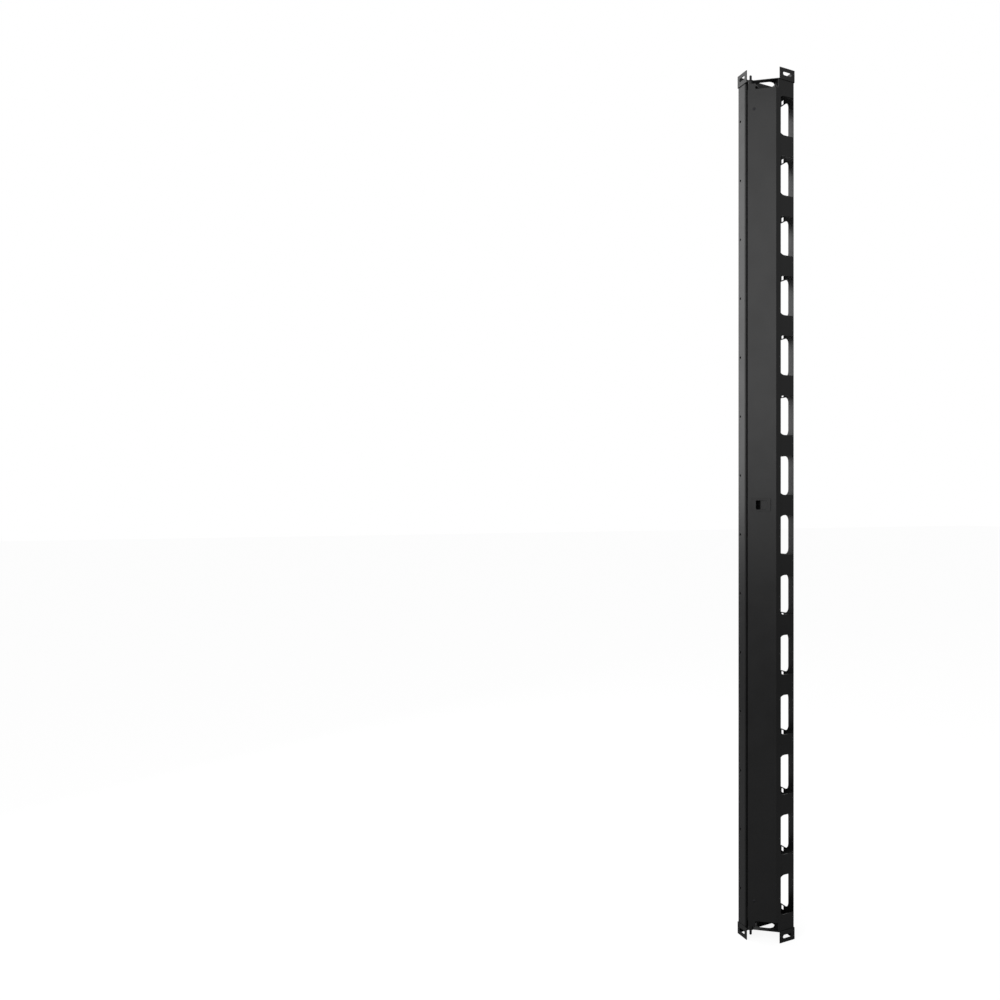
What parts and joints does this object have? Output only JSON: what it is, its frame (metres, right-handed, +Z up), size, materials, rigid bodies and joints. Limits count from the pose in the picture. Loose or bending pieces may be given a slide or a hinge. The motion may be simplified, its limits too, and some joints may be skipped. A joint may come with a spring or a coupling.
{
  "type": "vertical cable manager",
  "caption": "Tall square perforated steel cable channel with a hinged, latched corner door and slotted end caps, for the side of a server rack.",
  "frame": {"origin": "on the channel's vertical axis, level with the lower end cap's rim", "axes": "+Z up along the channel; +X towards the right wall; +Y towards the back wall; the door faces the corner of -X and -Y"},
  "size_m": [0.0952, 0.0942, 1.944],
  "materials": {
    "black_powder_coat": "satin black powder coat",
    "black_plastic": "fine-textured black plastic",
    "zinc_plate": "bright zinc plate",
    "black_zinc": "black zinc plate",
    "nylon": "black nylon"
  },
  "bodies": {
    "channel": {"right_wall": "black_powder_coat", "back_wall": "black_powder_coat", "left_rail": "black_powder_coat", "rail_bend": "black_powder_coat", "rail_lip": "black_powder_coat", "cable_comb": "black_powder_coat", "comb_lip": "black_powder_coat", "top_end_cap": "black_powder_coat", "bottom_end_cap": "black_powder_coat", "top_cap_rivets": "black_zinc", "bottom_cap_rivets": "black_zinc", "top_pin_bush": "nylon", "bottom_pin_bush": "nylon"},
    "door": {"door_panel": "black_powder_coat", "door_flange": "black_powder_coat", "door_return": "black_powder_coat", "top_hinge_bracket": "black_powder_coat", "bottom_hinge_bracket": "black_powder_coat", "top_bracket_rivet": "black_zinc", "bottom_bracket_rivet": "black_zinc", "top_pin_spring": "zinc_plate", "bottom_pin_spring": "zinc_plate", "latch_bezel": "black_plastic", "latch_case": "black_plastic", "latch_case_screws": "zinc_plate", "latch_spring": "black_zinc"},
    "top_pin": {"top_hinge_pin": "black_zinc", "top_pin_clip": "zinc_plate"},
    "bottom_pin": {"bottom_hinge_pin": "black_zinc", "bottom_pin_clip": "zinc_plate"},
    "latch": {"latch_slider": "black_plastic", "latch_bolt": "zinc_plate"}
  },
  "joints": [
    {"name": "door_swing", "type": "hinge", "parent": "channel", "child": "door", "pos_m": [-0.03917, 0.00184, 0.972], "axis": [0, 0, -1], "range_deg": [0, 120]},
    {"name": "top_pin_pull", "type": "slide", "parent": "door", "child": "top_pin", "axis": [0, 0, -1], "range_m": [0, 0.014], "stiffness_N_per_m": 300, "springref_m": -0.004, "deforming": ["top_pin_spring"]},
    {"name": "bottom_pin_pull", "type": "slide", "parent": "door", "child": "bottom_pin", "axis": [0, 0, 1], "range_m": [0, 0.014], "stiffness_N_per_m": 300, "springref_m": -0.004, "deforming": ["bottom_pin_spring"]},
    {"name": "latch_slide", "type": "slide", "parent": "door", "child": "latch", "axis": [-0.7071, 0.7071, 0], "range_m": [0, 0.007], "stiffness_N_per_m": 200, "springref_m": -0.004, "deforming": ["latch_spring"]}
  ]
}
